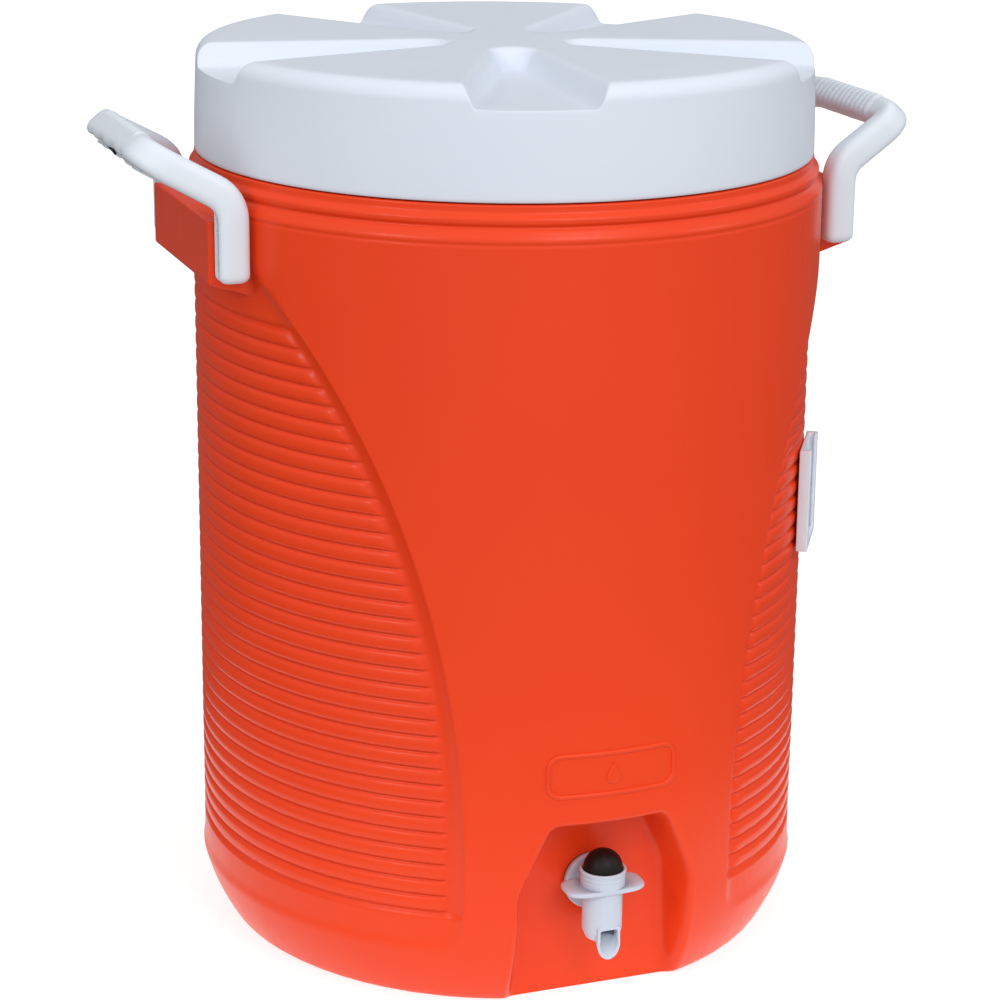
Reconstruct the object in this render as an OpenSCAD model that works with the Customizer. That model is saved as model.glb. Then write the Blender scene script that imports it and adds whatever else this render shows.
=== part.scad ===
// Insulated beverage dispenser: a round double-walled cooler for five US gallons, with a lift-off lid,
// two fixed carrying handles, a push-button spigot in a recess and a bracket for a cup dispenser.
// Millimetres. The origin is the middle of the base, +Z is up, the spigot faces -Y and the handles
// are at -X and +X. Bearings are in degrees round +Z, counted from the front towards +X.

/* [Overall] */
// Height over the lid
total_h = 500; // [420:5:620]
// Outside radius of the smooth wall
body_r = 175.5; // [165:0.5:215]
// Thickness of the moulded walls
wall = 3; // [2.5:0.1:3.6]

/* [Base] */
// How far the flat foot steps in from the wall
foot_in = 18.5; // [15:0.5:30]
// Height at which the base curve meets the wall
base_curve_h = 60; // [50:1:64]
// Radius of the base curve
base_curve_r = 130; // [125:1:150]
// Depth of the hollow under the base
base_hollow_h = 3; // [2:0.5:5]
// Radius of the filling plug's stem
plug_r = 9; // [6:0.5:12]

/* [Neck] */
// How far the neck steps in from the wall, just below the lid
neck_in = 5.2; // [3:0.1:6]
// How far the spout rim inside the lid's skirt steps in from the wall
rim_in = 11.5; // [11:0.1:13]
// Height of the rim above the lid's lower edge
rim_rise = 20; // [15:1:24]
// Height of the ringed shoulder below the lid's lower edge
shoulder_h = 18; // [14:1:22]

/* [Side panels] */
// Depth of the panel below the wall at a rib's crest
panel_depth = 4; // [2:0.5:5]
// Height of one rib above its groove
rib_h = 2.5; // [1:0.5:3]
// Height of one rib and its groove together
rib_pitch = 9.1; // [7:0.1:12]
// Height of the lowest rib
rib_z = 57; // [50:0.5:75]
// Smooth stretch between the top rib and the top of the panel's arch
rib_margin = 33; // [30:1:90]
// Height of the panel's lower edge, below which the base curve is whole
panel_z = 30; // [28:1:48]
// Height at which the panel is widest and its arch starts
arch_z = 85; // [80:1:95]
// Height of the smooth wall between the arch and the shoulder
arch_gap = 24; // [20:1:60]
// Bearing of the panel's edge, each way from the handle
panel_half_angle = 61; // [50:0.5:63]

/* [Handle lugs] */
// How far a lug stands out of the wall
lug_out = 8.5; // [7:0.5:18]
// Half of a lug's width
lug_half_w = 57.7; // [50:0.1:62]
// Height of a lug's upright face
lug_face_h = 35; // [28:1:38]

/* [Liner] */
// Distance from the outside of the wall to the inside of the liner, at the liner's floor
insulation_low = 51.5; // [50:0.5:65]
// The same distance at the liner's rim
insulation_high = 48.5; // [46:0.5:62]
// Height of the liner's floor
floor_z = 45; // [42:0.5:50]

/* [Lid] */
// Height of the lid's side
lid_h = 58; // [52:1:66]
// How far the lid's side stands in from the wall
lid_in = 5.5; // [5:0.1:6]
// Radius of the rounding round the lid's top
lid_round = 9; // [5:0.5:12]
// Number of finger pockets
pocket_count = 5; // [3:1:5]
// Depth of a finger pocket
pocket_h = 13; // [9:0.5:14]
// Half of the angle between a pocket's sides
pocket_half_angle = 11.7; // [8:0.1:13]
// Radius of a pocket's inner end
pocket_end_r = 10.5; // [9:0.5:13]
// Distance of a pocket's inner end from the axis
pocket_start = 47; // [40:1:70]
// Bearing of the first pocket
pocket_bearing = -15; // [-36:1:36]
// How deep the lid's plug reaches into the liner
plug_depth = 22; // [18:0.5:26]

/* [Spigot] */
// Depth of the recess
recess_depth = 30.5; // [26:0.5:36]
// Half of the recess's width at its knees
recess_half_w = 49; // [44:1:52]
// Height of the recess
recess_h = 108; // [104:1:112]
// Height of the spigot's shank above the liner's floor
shank_rise = 19; // [17:0.5:23]
// Gap between the bonnet's collar and the spigot's flange
barrel_gap = 1.3; // [1:0.1:4]
// Outside radius of the barrel
barrel_r = 10.9; // [10.5:0.1:12]
// Radius of the spigot's round flange
flange_r = 16; // [14:0.5:18]
// How far the button travels
button_travel = 5; // [3:0.5:5]
// Radius of the spout, outside
spout_r = 6.7; // [6:0.1:7.5]
// How far the spout leans from upright, in degrees
spout_lean = 46; // [40:1:50]
// How far the spout's mouth stands in front of the barrel's axis
spout_reach = 11; // [10:0.5:15]
// Width of the bonnet's two wings over their tips
wing_w = 45; // [40:1:56]

/* [Handles] */
// Gap between a leg and the end of its lug
leg_gap = 0.4; // [0.2:0.1:1]
// How far the grip's middle line stands out from the wall
grip_out = 38.5; // [30:0.5:46]
// Height of the grip's axis below the top of the lid
grip_drop = 45; // [40:1:50]
// Half of the grip's length between its bends
grip_half_y = 53; // [48:1:60]
// Width of the handle's section
handle_w = 17; // [15:0.5:20]
// Thickness of the handle's section
handle_t = 15; // [13:0.5:15.2]
// Thickness of the handle's skin over its open underside
handle_skin = 3; // [2:0.5:4]

/* [Cup bracket] */
// Bearing of the bracket
bracket_bearing = 58.7; // [45:0.1:70]
// Width of the bracket
bracket_w = 44; // [36:1:50]
// Height of the bracket
bracket_h = 58; // [40:1:80]
// Distance from the top of the panel's arch down to the bracket
bracket_drop = 117; // [110:1:180]
// Depth of the bracket
bracket_t = 6.4; // [5:0.1:8]

/* [Hidden] */
$fn = 96;

// Colours
orange = [0.91, 0.25, 0.14];
lid_white = [0.84, 0.86, 0.9];
handle_white = [0.88, 0.89, 0.93];
spigot_white = [0.82, 0.83, 0.87];
foam_cream = [0.93, 0.87, 0.66];
seal_grey = [0.35, 0.36, 0.38];
black = [0.08, 0.07, 0.07];
steel = [0.7, 0.71, 0.73];

eps = 0.01;       // overlap that keeps cuts clean
play = 0.3;       // gap between pieces that move past each other
fit = 0.05;       // radial clearance of a running fit

// Levels of the vessel and the lid
lid_z = total_h - lid_h;
rim_z = lid_z + rim_rise;
neck_z = lid_z - 1;
shoulder_z = lid_z - shoulder_h;
neck_r = body_r - neck_in;
rim_r = body_r - rim_in;
flange_z = rim_z - wall;
foot_r = body_r - foot_in;
base_chord = norm([foot_in, base_curve_h]);
base_sag = sqrt(base_curve_r * base_curve_r - base_chord * base_chord / 4);
base_centre = [(body_r + foot_r) / 2 - base_sag * base_curve_h / base_chord,
    base_curve_h / 2 + base_sag * foot_in / base_chord];
base_plate_z = base_hollow_h + wall;
base_hollow_r = foot_r - 35;
plug_y = 60;

// Rings of the shoulder, each a little wider than the one above
ring_steps = [0.55, 0.8, 1];
ring_gap = shoulder_h / 6;

// Panels
arch_h = shoulder_z - arch_gap - arch_z;
arch_top = arch_z + arch_h;
crest_r = body_r - panel_depth;
groove_r = crest_r - rib_h;
rib_count = round((arch_top - rib_margin - rib_z) / rib_pitch);
panel_edge = wall * 2;

// Lugs
lug_r = body_r + lug_out;
lug_top_z = shoulder_z - 2;
lug_face_z = lug_top_z - lug_face_h;
lug_inner_x = body_r - 22;
lug_fall = 0.3;
lug_peg_z = lug_top_z - 16;
peg_r = 4;
peg_reach = 12;

// Handles, whose legs clear the wall at the rounded inner corners of their section
leg_sink = 1.45;
leg_y = lug_half_w + leg_gap + handle_t / 2;
leg_x = sqrt(pow(body_r + handle_w / 2 - leg_sink, 2) - pow(lug_half_w, 2));
leg_foot_z = lug_top_z - 32;
knee_z = lid_z - 9;
grip_x = body_r + grip_out;
grip_z = total_h - grip_drop;
knee_bend = 10;
grip_bend = 13;

// Liner
liner_floor_r = body_r - insulation_low;
liner_rim_r = body_r - insulation_high;

// Lid
lid_r = body_r - lid_in;
lid_wall = wall;
skirt_r = lid_r - lid_wall;
pan_z = rim_z + play;
pan_r = skirt_r - fit;
pan_plug_r = liner_floor_r + (liner_rim_r - liner_floor_r) * (rim_z - plug_depth - floor_z) / (rim_z - floor_z)
    - 1.6;
pan_floor_z = rim_z - plug_depth;
gasket_h = 6;
gasket_z = pan_floor_z + 9;
gasket_groove = 2.6;

// Spigot, along its shank (y) and its barrel (z)
recess_d = body_r - recess_depth;
shank_z = floor_z + shank_rise;
washer_t = 1.8;
flange_t = 3.2;
boss_y = liner_floor_r - 3;
shank_r = 10.6;
shank_bore_r = 4.5;
nut_t = 8;
nut_r = shank_rise - 3;
boss_r = nut_r + 1;
shank_end = boss_y - washer_t - nut_t - 4;
button_r = barrel_r - 0.2;
button_gap = 0.35;
collar_t = 1.65;
collar_r = button_r + button_gap + collar_t;
barrel_out = washer_t + flange_t + barrel_gap + collar_r;
barrel_y = recess_d + barrel_out;
barrel_top = shank_z + 6.5;
collar_z = shank_z + 2.5;
wing_t = 2.5;
wing_d = 24;
bulkhead_t = 1.7;
chamber_r = barrel_r - 2.7;
seat_t = 2;
seat_hole_r = 4;
stem_r = 2;
seal_r = 6.4;
seal_t = 2.2;
seal_wall = 1;
foot_t = 1.5;
lower_r = seal_r + seal_wall;
lower_top = shank_z - 15;
lower_h = seal_t + foot_t + button_travel + 0.6;
barrel_bottom = lower_top - lower_h - 1.6;
gland_r = 4.2;
gland_h = 3.1;
o_ring_r = 3.4;
o_ring_t = 1.5;
button_base = barrel_top + button_travel + 1.2;
button_skirt = 1.3;
collar_h = button_base + button_skirt - collar_z;
button_wall = 2;
socket_z = barrel_top + gland_h + button_travel + 0.6;
stem_top = button_base + button_skirt + button_r - button_wall - 0.4;
spring_r = 5.2;
spring_wire = 0.5;
spring_turns = 5;
spout_len = 22;
spout_cut = barrel_out + spout_reach;
spout_wall = 1.6;
mouth_top = lower_top - 2;
inlet_r = 6.3;
inlet_z = collar_z - play - inlet_r;

// Bracket
bracket_n = crest_r + fit;
bracket_z = arch_top - bracket_drop - bracket_h;
bracket_plate = 2.4;
lip_w = 4;
lip_over = 3;
lip_t = 1.8;
stop_h = 3;
screw_r = 1.75;
screw_head_r = 3.4;
screw_l = 16;
screw_zs = [bracket_z + bracket_h / 4, bracket_z + bracket_h * 3 / 4];

// Half-width of a side panel at a height, for an edge bearing
function panel_y(z, angle, top) =
    body_r * sin(angle * sqrt(max(0, 1 - pow((max(z, arch_z) - arch_z) / top, 2))));

// Outline of a side panel, seen along X: upright edges and an arch
module panel_outline(grow = 0) {
    steps = 20;
    right = [for (i = [0:steps]) let (a = 90 * i / steps, z = arch_z + (arch_h + grow) * sin(a))
        [panel_y(z, panel_half_angle, arch_h + grow) + grow * cos(a), z]];
    left = [for (i = [steps - 1:-1:0]) [-right[i][0], right[i][1]]];
    low = panel_z - grow;
    polygon(concat([[-right[0][0], low], [right[0][0], low]], right, left));
}

// Two prisms through both side panels
module panel_prisms(grow = 0) {
    rotate([90, 0, 90])
        linear_extrude(height = 3 * body_r, center = true)
            panel_outline(grow);
}

// Ring between the ribbed surface and the air outside the wall
module ribbed_ring() {
    ribs = [for (i = [0:rib_count - 1]) let (z = rib_z + i * rib_pitch) each [
        [groove_r, z], [crest_r, z + 0.3 * rib_pitch],
        [crest_r, z + 0.7 * rib_pitch], [groove_r, z + rib_pitch - 0.8]
    ]];
    rotate_extrude()
        polygon(concat([[body_r + 5, panel_z - 5], [crest_r, panel_z - 5], [crest_r, rib_z - 1]],
            ribs, [[crest_r, rib_z + rib_count * rib_pitch + 2], [crest_r, arch_top + 10],
            [body_r + 5, arch_top + 10]]));
}

// Half-section of the smooth wall with its base curve, taken in by an inset that makes the inside
module wall_section(inset = 0) {
    r = body_r - inset;
    intersection() {
        translate([0, inset]) square([r, shoulder_z - inset]);
        union() {
            translate(base_centre) circle(base_curve_r - inset);
            translate([0, base_curve_h]) square([r, shoulder_z]);
        }
    }
}

// Half-section of the shoulder's rings and the neck
module neck_section() {
    for (i = [0:2])
        translate([0, shoulder_z - eps])
            square([body_r - neck_in * ring_steps[i], (2 * (3 - i) - 0.6) * ring_gap]);
    translate([0, shoulder_z]) square([neck_r, neck_z - shoulder_z]);
    translate([0, neck_z - eps]) square([rim_r, flange_z - neck_z + eps]);
}

// Section of a lug, seen along Y: upright face, sloped underside and flat top
module lug_section(inset = 0) {
    face_x = lug_r - inset;
    rise = inset * norm([1, lug_fall]);
    polygon([[lug_inner_x, lug_face_z - (lug_r - lug_inner_x) * lug_fall + rise],
        [face_x, lug_face_z - inset * lug_fall + rise], [face_x, lug_top_z - inset],
        [lug_inner_x, lug_top_z - inset]]);
}

// Both lugs, or with an inset the space inside them
module lugs(inset = 0) {
    for (side = [0, 1]) mirror([side, 0, 0])
        rotate([90, 0, 0]) linear_extrude(height = 2 * (lug_half_w - inset), center = true)
            lug_section(inset);
}

// Recess for the spigot: sides that lean in, open at the front and at the floor
module recess(grow = 0) {
    back = recess_d - grow;
    front = body_r + 5;
    knee = shank_z + 6;
    top_w = recess_half_w * 0.65;
    lean = 5;
    hull() {
        for (p = [[front, 0], [back, lean]])
            translate([0, -p[0], 0]) rotate([90, 0, 0]) linear_extrude(height = eps)
                polygon([for (s = [[-1, -1], [1, -1], [1, 0], [1, 1], [-1, 1], [-1, 0]])
                    [s[0] * ((s[1] > 0 ? top_w : recess_half_w) + grow - p[1]),
                    s[1] < 0 ? -5 : s[1] == 0 ? knee : recess_h + grow - p[1]]]);
    }
}

// Space between the walls, which the foam fills
module shell_space() {
    difference() {
        union() {
            rotate_extrude() {
                difference() {
                    wall_section(wall);
                    square([body_r, base_plate_z]);
                }
                translate([0, shoulder_z - wall]) square([rim_r - wall, flange_z - shoulder_z + wall]);
            }
            lugs(wall);
        }
        intersection() {
            rotate_extrude()
                translate([groove_r - wall, panel_z - 15]) square([body_r, arch_top - panel_z + 10]);
            difference() {
                panel_prisms(panel_edge);
                lugs(wall);
            }
        }
        recess(wall);
    }
}

// Hole for the spigot's shank through the walls
module shank_hole(r) {
    translate([0, -recess_d - 5, shank_z]) rotate([-90, 0, 0]) cylinder(r = r, h = recess_d + 10 - boss_y);
}

// Places the children on the bracket's face, at a height
module at_bracket(z) {
    rotate([0, 0, bracket_bearing]) translate([0, -bracket_n, z]) rotate([90, 0, 0]) children();
}

module outer_shell() {
    color(orange) difference() {
        union() {
            difference() {
                rotate_extrude() { wall_section(); neck_section(); }
                intersection() { ribbed_ring(); panel_prisms(); }
            }
            lugs();
        }
        shell_space();
        recess();
        translate([0, 0, -eps]) cylinder(r = base_hollow_r, h = base_hollow_h + eps);
        translate([0, plug_y, 0]) cylinder(r = plug_r + fit, h = base_plate_z + 1);
        translate([0, 0, flange_z - 10]) cylinder(r = rim_r - wall, h = 11);
        shank_hole(shank_r + 0.4);
        for (z = screw_zs) at_bracket(z) translate([0, 0, -30]) cylinder(r = screw_r + fit, h = 40);
        for (x = [-leg_x, leg_x], y = [-lug_half_w - 1, lug_half_w - peg_reach])
            translate([x, y, lug_peg_z]) rotate([-90, 0, 0]) cylinder(r = peg_r + fit, h = peg_reach + 1);
    }
}

// Half-section of the liner's inside or outside
module liner_section(grow = 0) {
    polygon([[0, floor_z - grow], [liner_floor_r + grow, floor_z - grow],
        [liner_rim_r + grow, rim_z], [liner_rim_r + grow, rim_z + eps], [0, rim_z + eps]]);
}

module inner_liner() {
    color("white") difference() {
        union() {
            difference() {
                rotate_extrude() {
                    intersection() {
                        liner_section(wall);
                        square([body_r, rim_z]);
                    }
                    translate([0, flange_z]) square([rim_r, wall]);
                }
                rotate_extrude() liner_section();
            }
            translate([0, -boss_y, shank_z]) rotate([90, 0, 0]) cylinder(r = boss_r, h = 5);
        }
        shank_hole(shank_r + 0.4);
    }
}

module foam_insulation() {
    color(foam_cream) difference() {
        shell_space();
        rotate_extrude() liner_section(wall);
        translate([0, 0, flange_z]) cylinder(r = rim_r, h = wall);
        translate([0, plug_y, 0]) cylinder(r = plug_r + 1, h = base_plate_z + 3);
        shank_hole(shank_r + 0.4);
        for (z = screw_zs) at_bracket(z) translate([0, 0, -30]) cylinder(r = screw_r + fit, h = 40);
        for (x = [-leg_x, leg_x], y = [-lug_half_w - 1, lug_half_w - peg_reach - 1])
            translate([x, y, lug_peg_z]) rotate([-90, 0, 0]) cylinder(r = peg_r + 1, h = peg_reach + 2);
    }
}

module foam_fill_plug() {
    color(orange) translate([0, plug_y, 0]) {
        translate([0, 0, base_hollow_h - 2]) cylinder(r = plug_r + 4, h = 2);
        translate([0, 0, base_hollow_h - eps]) cylinder(r = plug_r, h = wall + 2);
    }
}

// Finger pockets: wedges that open at the lid's side and end in a round
module pockets(grow = 0) {
    far = lid_r + 20;
    end_w = pocket_end_r + (far - pocket_start) * tan(pocket_half_angle) + grow;
    near_w = pocket_end_r + grow;
    for (i = [0:pocket_count - 1])
        rotate([0, 0, pocket_bearing + i * 360 / pocket_count])
            translate([0, 0, total_h - pocket_h - grow]) linear_extrude(height = pocket_h + grow + 5) {
                translate([0, -pocket_start]) circle(near_w);
                polygon([[-near_w, -pocket_start], [near_w, -pocket_start], [end_w, -far], [-end_w, -far]]);
            }
}

// Half-section of the lid's outside
module lid_section(inset = 0) {
    r = lid_r - inset;
    top = total_h - inset;
    round_r = max(lid_round - inset, 1);
    translate([0, lid_z]) square([r, top - lid_z - round_r]);
    translate([0, lid_z]) square([r - round_r, top - lid_z]);
    translate([r - round_r, top - round_r]) circle(round_r);
}

// Space inside the lid's shell, open below
module lid_space() {
    difference() {
        rotate_extrude() {
            lid_section(lid_wall);
            translate([0, lid_z - 5]) square([skirt_r, 10]);
        }
        pockets(lid_wall);
    }
}

module lid_top() {
    color(lid_white) difference() {
        rotate_extrude() lid_section();
        lid_space();
        pockets();
    }
}

module lid_pan() {
    color(lid_white) rotate_extrude() difference() {
        union() {
            translate([0, pan_z]) square([pan_r, wall]);
            translate([0, pan_floor_z]) square([pan_plug_r, pan_z - pan_floor_z + eps]);
        }
        translate([0, pan_floor_z + wall]) square([pan_plug_r - gasket_groove - wall, plug_depth + wall]);
        translate([pan_plug_r - gasket_groove, gasket_z - fit]) square([5, gasket_h + 2 * fit]);
    }
}

module lid_foam() {
    color(foam_cream) difference() {
        rotate_extrude() {
            intersection() {
                lid_section(lid_wall);
                translate([0, pan_z + wall]) square([lid_r, lid_h]);
            }
            translate([0, pan_floor_z + wall]) square([pan_plug_r - gasket_groove - wall, plug_depth + play + 1]);
        }
        pockets(lid_wall);
    }
}

module lid_gasket() {
    inner = pan_plug_r - gasket_groove + fit;
    color(seal_grey) rotate_extrude() {
        translate([inner, gasket_z]) square([pan_plug_r + 0.2 - inner, gasket_h]);
        for (z = [gasket_z + 1.2, gasket_z + gasket_h - 1.2])
            translate([pan_plug_r, z]) polygon([[0, -0.8], [1.1, 0.2], [0, 0.8]]);
    }
}

// Rounded oblong, as a list of points
function oblong(w, t, n = 16) = [for (i = [0:n - 1]) let (a = 360 * (i + 0.5) / n, c = cos(a), s = sin(a))
    [w / 2 * sign(c) * pow(abs(c), 0.6), t / 2 * sign(s) * pow(abs(s), 0.6)]];

// Points along a path of straight runs with rounded bends
function bend(a, b, c, r) = let (u = (a - b) / norm(a - b), v = (c - b) / norm(c - b))
    [for (t = [0:0.25:1]) b + u * r * pow(1 - t, 2) + v * r * pow(t, 2)];

// Unit vector across the section at point i of a path, in the plane of the bends
function along(p, i) = let (d = p[min(i + 1, len(p) - 1)] - p[max(i - 1, 0)]) d / norm(d);

// Closed tube swept along a path, its section's width turned towards an inside line that runs along Y
module swept(path, section, inside) {
    n = len(section);
    rings = [for (i = [0:len(path) - 1]) let (
            d = along(path, i),
            w = [inside[0] - path[i][0], 0, inside[1] - path[i][2]],
            a = w - (w * d) * d,
            across = a / norm(a),
            thick = cross(d, across))
        [for (s = section) path[i] + s[0] * across + s[1] * thick]];
    faces = [for (i = [0:len(path) - 2], j = [0:n - 1]) let (k = (j + 1) % n)
        each [[i * n + j, (i + 1) * n + k, i * n + k], [i * n + j, (i + 1) * n + j, (i + 1) * n + k]]];
    ends = [[for (j = [0:n - 1]) j], [for (j = [n - 1:-1:0]) (len(path) - 1) * n + j]];
    polyhedron(points = [for (r = rings) each r], faces = concat(faces, ends), convexity = 6);
}

// Middle line of the right handle: up the front leg, out along the arm, across the grip and back
function handle_path(lift = 0) = let (
        foot = [leg_x, -leg_y, leg_foot_z + lift],
        knee = [leg_x, -leg_y, knee_z],
        corner = [grip_x, -grip_half_y, grip_z],
        middle = [grip_x, 0, grip_z],
        half = concat([foot], bend(foot, knee, corner, knee_bend), bend(knee, corner, middle, grip_bend)))
    concat(half, [for (i = [len(half) - 1:-1:0]) [half[i][0], -half[i][1], half[i][2]]]);

// One handle at +X: a channel that is open on its outer underside, with a peg at each foot
module handle() {
    inner = [body_r - 40, total_h + 20];
    color(handle_white) {
        difference() {
            swept(handle_path(), oblong(handle_w, handle_t), inner);
            translate([handle_skin + 1, 0, -handle_skin - 1])
                swept(handle_path(7), oblong(handle_w - 2 * handle_skin, handle_t - 2 * handle_skin), inner);
        }
        for (side = [-1, 1])
            translate([leg_x, side * (leg_y - 2), lug_peg_z]) rotate([side * 90, 0, 0])
                cylinder(r = peg_r, h = leg_y - 2 - lug_half_w + peg_reach - 1);
    }
}

module handle_right() {
    handle();
}

module handle_left() {
    mirror([1, 0, 0]) handle();
}

// Plate with two lips that a cup dispenser slides behind, and a stop at its foot
module cup_bracket() {
    half = bracket_w / 2;
    color(handle_white) difference() {
        at_bracket(bracket_z) {
            translate([-half, 0, 0]) cube([bracket_w, bracket_h, bracket_plate]);
            for (x = [-half, half - lip_w]) translate([x, 0, 0]) cube([lip_w, bracket_h, bracket_t]);
            for (x = [-half, half - lip_w - lip_over])
                translate([x, 0, bracket_t - lip_t]) cube([lip_w + lip_over, bracket_h, lip_t]);
            translate([-half, 0, 0]) cube([bracket_w, stop_h, bracket_t]);
        }
        for (z = screw_zs) at_bracket(z) translate([0, 0, -1]) cylinder(r = screw_r + 0.2, h = 10);
    }
}

module bracket_screws() {
    color(steel) for (z = screw_zs) at_bracket(z) {
        translate([0, 0, bracket_plate - screw_l]) cylinder(r = screw_r, h = screw_l);
        translate([0, 0, bracket_plate]) difference() {
            cylinder(r = screw_head_r, h = 1.9);
            for (a = [0, 90]) rotate([0, 0, a]) translate([0, 0, 1.6]) cube([4, 0.9, 1.4], center = true);
        }
    }
}

// Places the children on the barrel's axis, at a height
module at_barrel(z) {
    translate([0, -barrel_y, z]) children();
}

// Rod down the middle of the spout
module spout_rod(r, len) {
    at_barrel(lower_top - 1) rotate([-spout_lean, 0, 0]) mirror([0, 0, 1]) cylinder(r = r, h = len);
}

// Straight-sided trough over the spout's rod, a little narrower than the rod, up to a level
module spout_trough(r, top) {
    half = r - 0.2;
    intersection() {
        at_barrel(lower_top - 1) rotate([-spout_lean, 0, 0]) translate([-half, -spout_len, -spout_len - 10])
            cube([2 * half, spout_len, spout_len + 10]);
        at_barrel(0) translate([-spout_len, -2 * spout_len, 0]) cube([2 * spout_len, 2 * spout_len, top]);
    }
}

module spigot_body() {
    color(spigot_white) difference() {
        union() {
            at_barrel(barrel_bottom) cylinder(r1 = lower_r + 1.4, r2 = barrel_r, h = 5);
            at_barrel(barrel_bottom + 5) cylinder(r = barrel_r, h = barrel_top - barrel_bottom - 5);
            at_barrel(barrel_top - eps) cylinder(r = gland_r, h = gland_h + eps);
            intersection() {
                union() {
                    spout_rod(spout_r, spout_len + 10);
                    spout_trough(spout_r, mouth_top);
                }
                translate([-20, -recess_d - spout_cut, 0]) cube([40, spout_cut, shank_z]);
            }
            translate([0, -barrel_y, inlet_z]) rotate([-90, 0, 0])
                cylinder(r = inlet_r, h = barrel_out - washer_t);
            translate([0, -recess_d - washer_t, shank_z]) rotate([90, 0, 0]) cylinder(r = flange_r, h = flange_t);
            translate([0, -recess_d - washer_t - 1, shank_z]) rotate([-90, 0, 0])
                cylinder(r = shank_r, h = recess_d + washer_t + 1 - shank_end);
        }
        at_barrel(lower_top + seat_t) cylinder(r = chamber_r, h = barrel_top - bulkhead_t - lower_top - seat_t);
        at_barrel(lower_top - 1) cylinder(r = seat_hole_r, h = seat_t + 2);
        at_barrel(lower_top - lower_h) cylinder(r = lower_r, h = lower_h);
        at_barrel(barrel_top - bulkhead_t - 1) cylinder(r = stem_r + fit, h = bulkhead_t + gland_h + 2);
        at_barrel(barrel_top + 0.4) cylinder(r = o_ring_r + fit, h = o_ring_t + 0.2);
        spout_rod(spout_r - spout_wall, spout_len + 20);
        spout_trough(spout_r - spout_wall, mouth_top - spout_wall);
        translate([0, -barrel_y + 3, inlet_z]) rotate([-90, 0, 0]) cylinder(r = shank_bore_r, h = barrel_y);
    }
}

module spigot_bonnet() {
    color(spigot_white) at_barrel(collar_z) difference() {
        union() {
            cylinder(r = collar_r, h = collar_h);
            linear_extrude(height = wing_t) polygon(oblong(wing_w, wing_d, 32));
        }
        translate([0, 0, -1]) cylinder(r = barrel_r + 0.1, h = barrel_top - collar_z + 1);
        translate([0, 0, barrel_top - collar_z - eps]) cylinder(r = button_r + button_gap, h = collar_h);
    }
}

// Flat ring on the shank's axis, its outer face at a distance from the dispenser's axis
module shank_ring(d, r, bore, t, sides = 96) {
    translate([0, -d, shank_z]) rotate([-90, 0, 0]) difference() {
        cylinder(r = r, h = t, $fn = sides);
        translate([0, 0, -1]) cylinder(r = bore, h = t + 2);
    }
}

module spigot_outer_washer() {
    color(seal_grey) shank_ring(recess_d + washer_t, flange_r - 0.6, shank_r + 0.1, washer_t);
}

module spigot_inner_washer() {
    color(seal_grey) shank_ring(boss_y, nut_r - 0.6, shank_r + 0.1, washer_t);
}

module spigot_nut() {
    color(spigot_white) shank_ring(boss_y - washer_t, nut_r, shank_r + 0.1, nut_t, 6);
}

module button_cap() {
    h = button_skirt;
    color(black) at_barrel(button_base) difference() {
        union() {
            cylinder(r = button_r, h = h);
            translate([0, 0, h]) intersection() {
                sphere(r = button_r);
                cylinder(r = button_r + 1, h = button_r + 1);
            }
        }
        translate([0, 0, -1]) cylinder(r = button_r - button_wall, h = h + 1);
        translate([0, 0, h - eps]) intersection() {
            sphere(r = button_r - button_wall);
            difference() {
                cylinder(r = button_r, h = button_r);
                translate([0, 0, socket_z - button_base - h]) cylinder(r = gland_r, h = button_r);
            }
        }
        translate([0, 0, socket_z - button_base - 1])
            cylinder(r = stem_r + fit / 2, h = stem_top - socket_z + 1);
    }
}

module button_stem() {
    foot = lower_top - 0.1 - seal_t - foot_t;
    color(steel) at_barrel(foot) {
        cylinder(r = stem_r, h = stem_top - foot);
        cylinder(r = seat_hole_r, h = foot_t);
    }
}

module valve_seal() {
    color(seal_grey) at_barrel(lower_top - 0.1 - seal_t) difference() {
        cylinder(r = seal_r, h = seal_t);
        translate([0, 0, -1]) cylinder(r = stem_r + fit / 2, h = seal_t + 2);
    }
}

module stem_o_ring() {
    color(seal_grey) at_barrel(barrel_top + 0.5) difference() {
        cylinder(r = o_ring_r, h = o_ring_t);
        translate([0, 0, -1]) cylinder(r = stem_r + fit, h = o_ring_t + 2);
    }
}

module button_spring() {
    low = barrel_top + spring_wire;
    high = button_base + button_skirt + sqrt(pow(button_r - button_wall, 2) - pow(spring_r + spring_wire, 2))
        - 2 * spring_wire;
    steps = 14;
    sides = 6;
    count = spring_turns * steps;
    points = [for (i = [0:count], j = [0:sides - 1]) let (a = 360 * i / steps, b = 360 * j / sides,
            r = spring_r + spring_wire * cos(b))
        [r * cos(a), r * sin(a), low + (high - low) * i / count + spring_wire * sin(b)]];
    faces = [for (i = [0:count - 1], j = [0:sides - 1]) let (k = (j + 1) % sides)
        each [[i * sides + j, i * sides + k, (i + 1) * sides + k],
            [i * sides + j, (i + 1) * sides + k, (i + 1) * sides + j]]];
    ends = [[for (j = [sides - 1:-1:0]) j], [for (j = [0:sides - 1]) count * sides + j]];
    color(steel) at_barrel(0) polyhedron(points = points, faces = concat(faces, ends), convexity = 10);
}

outer_shell();
inner_liner();
foam_insulation();
foam_fill_plug();
lid_top();
lid_pan();
lid_foam();
lid_gasket();
handle_left();
handle_right();
cup_bracket();
bracket_screws();
spigot_body();
spigot_bonnet();
spigot_outer_washer();
spigot_inner_washer();
spigot_nut();
button_cap();
button_stem();
valve_seal();
stem_o_ring();
button_spring();
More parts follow.
